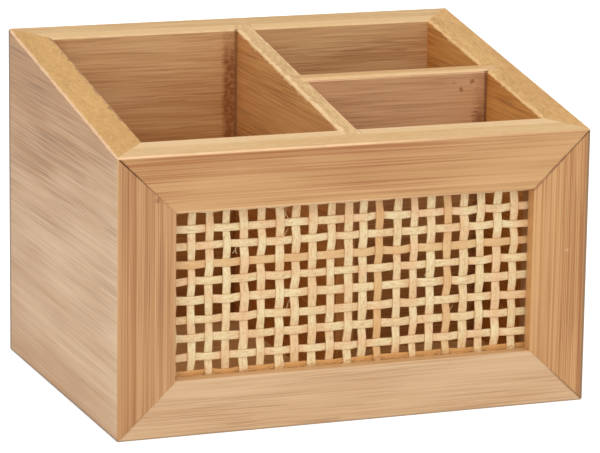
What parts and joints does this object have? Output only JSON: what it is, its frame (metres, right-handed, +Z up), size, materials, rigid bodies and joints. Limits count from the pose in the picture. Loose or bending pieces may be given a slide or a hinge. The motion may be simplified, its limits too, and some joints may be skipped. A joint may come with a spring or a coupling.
{
  "type": "bathroom storage box",
  "caption": "Open bamboo storage box with a rim that slopes down to a framed woven cane front, split by dividers into one long and two short compartments.",
  "frame": {"origin": "on the surface that the box stands on, under the middle of the box", "axes": "+X to the right seen from the cane front, +Y from the front to the back, +Z up"},
  "size_m": [0.17, 0.127, 0.1184],
  "materials": {
    "bamboo_board": "sanded, clear matt lacquer",
    "bamboo_frame": "sanded, clear matt lacquer",
    "bamboo_divider": "sanded, clear matt lacquer",
    "cane": "bare, peeled"
  },
  "bodies": {
    "root": {"back_panel": "bamboo_board", "base_panel": "bamboo_board", "cane_bead_bottom": "bamboo_frame", "cane_bead_left": "bamboo_frame", "cane_bead_right": "bamboo_frame", "cane_bead_top": "bamboo_frame", "cane_crosser_01": "cane", "cane_crosser_02": "cane", "cane_crosser_03": "cane", "cane_crosser_04": "cane", "cane_crosser_05": "cane", "cane_crosser_06": "cane", "cane_crosser_07": "cane", "cane_crosser_08": "cane", "cane_crosser_09": "cane", "cane_crosser_10": "cane", "cane_upright_01": "cane", "cane_upright_02": "cane", "cane_upright_03": "cane", "cane_upright_04": "cane", "cane_upright_05": "cane", "cane_upright_06": "cane", "cane_upright_07": "cane", "cane_upright_08": "cane", "cane_upright_09": "cane", "cane_upright_10": "cane", "cane_upright_11": "cane", "cane_upright_12": "cane", "cane_upright_13": "cane", "cane_upright_14": "cane", "cane_upright_15": "cane", "cane_upright_16": "cane", "cane_upright_17": "cane", "cane_upright_18": "cane", "cane_upright_19": "cane", "cane_upright_20": "cane", "cane_upright_21": "cane", "cross_divider": "bamboo_divider", "front_bottom_rail": "bamboo_frame", "front_left_stile": "bamboo_frame", "front_right_stile": "bamboo_frame", "front_top_rail": "bamboo_frame", "left_side_panel": "bamboo_board", "long_divider": "bamboo_divider", "right_side_panel": "bamboo_board"}
  },
  "joints": []
}
